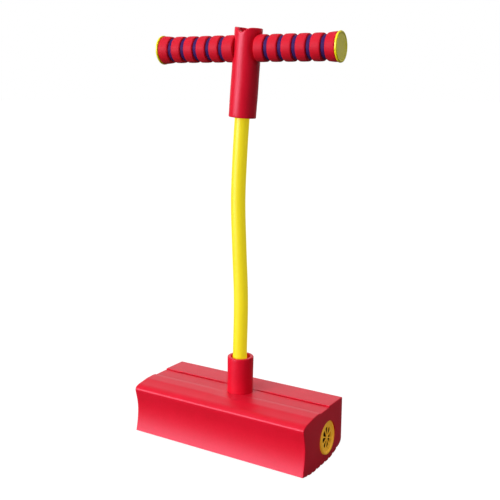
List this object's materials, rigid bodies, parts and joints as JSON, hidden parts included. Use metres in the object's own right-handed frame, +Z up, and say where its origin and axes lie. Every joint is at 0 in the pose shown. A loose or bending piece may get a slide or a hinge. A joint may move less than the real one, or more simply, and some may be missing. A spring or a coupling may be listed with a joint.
{
  "type": "foam pogo jumper",
  "caption": "Springless foam pogo stick: a ribbed foam block, an elastic tube that stretches and bends, and a T handlebar with foam ring grips.",
  "frame": {"origin": "middle of the foam block's underside, on the floor", "axes": "+Z up along the stick, +X along the block towards the squeaker, +Y from the hollow front face to the back"},
  "size_m": [0.2683, 0.1074, 0.5389],
  "materials": {
    "red_foam": "matt closed-cell foam with a smooth skin",
    "blue_foam": "matt closed-cell foam",
    "yellow_rubber": "smooth extruded latex, satin",
    "yellow_plastic": "moulded plastic, satin gloss",
    "white_plastic": "moulded plastic"
  },
  "bodies": {
    "base": {"base_block": "red_foam", "base_plug": "red_foam", "anchor_washer": "white_plastic", "lower_tube_plug": "white_plastic", "lower_collar": "red_foam", "squeaker_cap": "yellow_plastic", "squeaker_bellows": "yellow_plastic", "squeaker_reed_holder": "white_plastic", "squeaker_reed": "white_plastic", "tube_root": "yellow_rubber"},
    "lower_length": {"tube_lower": "yellow_rubber"},
    "middle_length": {"tube_middle": "yellow_rubber"},
    "upper_length": {"tube_upper": "yellow_rubber"},
    "head": {"tube_head": "yellow_rubber", "upper_sleeve": "red_foam", "tube_hanger": "white_plastic", "tube_clamp": "white_plastic", "handlebar_tube": "white_plastic", "right_red_ring_1": "red_foam", "right_red_ring_2": "red_foam", "right_red_ring_3": "red_foam", "right_red_ring_4": "red_foam", "right_red_ring_5": "red_foam", "right_red_ring_6": "red_foam", "right_blue_ring_1": "blue_foam", "right_blue_ring_2": "blue_foam", "right_blue_ring_3": "blue_foam", "right_blue_ring_4": "blue_foam", "right_blue_ring_5": "blue_foam", "right_end_cap": "yellow_plastic", "left_red_ring_1": "red_foam", "left_red_ring_2": "red_foam", "left_red_ring_3": "red_foam", "left_red_ring_4": "red_foam", "left_red_ring_5": "red_foam", "left_red_ring_6": "red_foam", "left_blue_ring_1": "blue_foam", "left_blue_ring_2": "blue_foam", "left_blue_ring_3": "blue_foam", "left_blue_ring_4": "blue_foam", "left_blue_ring_5": "blue_foam", "left_end_cap": "yellow_plastic"}
  },
  "joints": [
    {"name": "bend_fore_aft", "type": "hinge", "parent": "base", "child": "lower_length", "pos_m": [0.00405, 0.004, 0.159], "axis": [1, 0, 0], "range_deg": [-35, 35], "stiffness_Nm_per_rad": 5, "deforming": ["tube_root", "tube_lower"]},
    {"name": "bend_sideways", "type": "hinge", "parent": "lower_length", "child": "middle_length", "pos_m": [0.0042, 0.004, 0.225], "axis": [0, 1, 0], "range_deg": [-35, 35], "stiffness_Nm_per_rad": 5, "deforming": ["tube_lower", "tube_middle"]},
    {"name": "stretch", "type": "slide", "parent": "middle_length", "child": "upper_length", "axis": [0, 0, 1], "range_m": [0, 0.2], "stiffness_N_per_m": 600, "deforming": ["tube_middle", "tube_upper"]},
    {"name": "handle_twist", "type": "hinge", "parent": "upper_length", "child": "head", "pos_m": [0.00688, 0.004, 0.425], "axis": [0.0917, 0, 0.9958], "range_deg": [-45, 45], "stiffness_Nm_per_rad": 1, "deforming": ["tube_upper", "tube_head"]}
  ]
}
